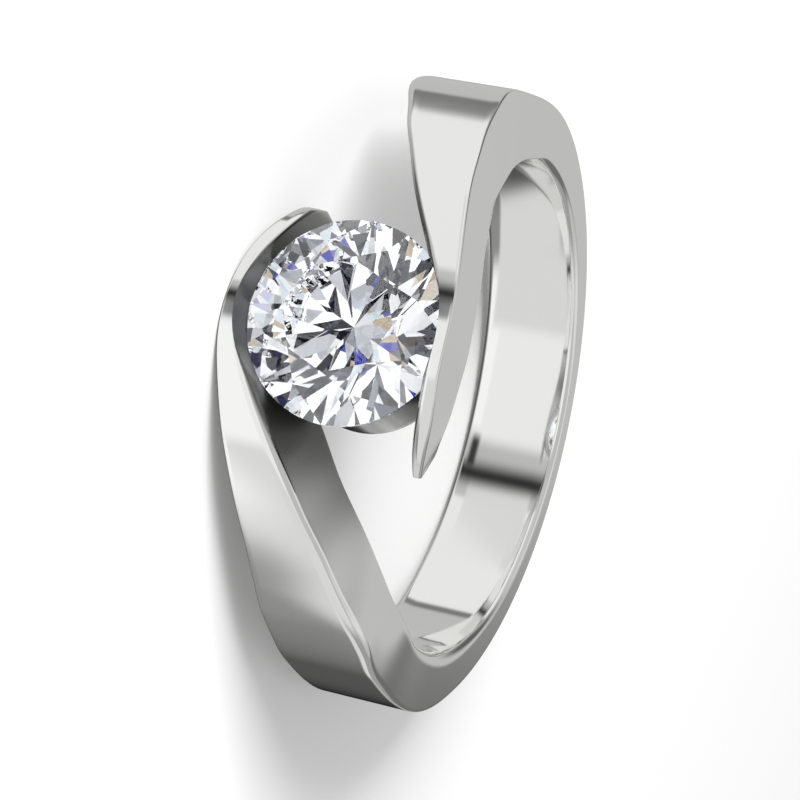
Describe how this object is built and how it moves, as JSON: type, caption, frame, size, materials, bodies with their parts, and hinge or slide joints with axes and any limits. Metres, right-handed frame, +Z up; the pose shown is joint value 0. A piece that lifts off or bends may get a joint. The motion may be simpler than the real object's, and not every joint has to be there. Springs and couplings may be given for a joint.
{
  "type": "cubic zirconia ring",
  "caption": "Polished white metal bypass ring whose two spiralling arms hold a round brilliant stone between them.",
  "frame": {"origin": "middle of the bounding box, on the surface that the ring lies on", "axes": "+Z up from the surface with the finger hole opening upwards, -Y towards the stone, +Y towards the back of the band"},
  "size_m": [0.0216, 0.0232, 0.0073],
  "materials": {
    "metal": "polished",
    "stone": "polished"
  },
  "bodies": {
    "root": {"ring_body": "metal", "stone": "stone"}
  },
  "joints": []
}
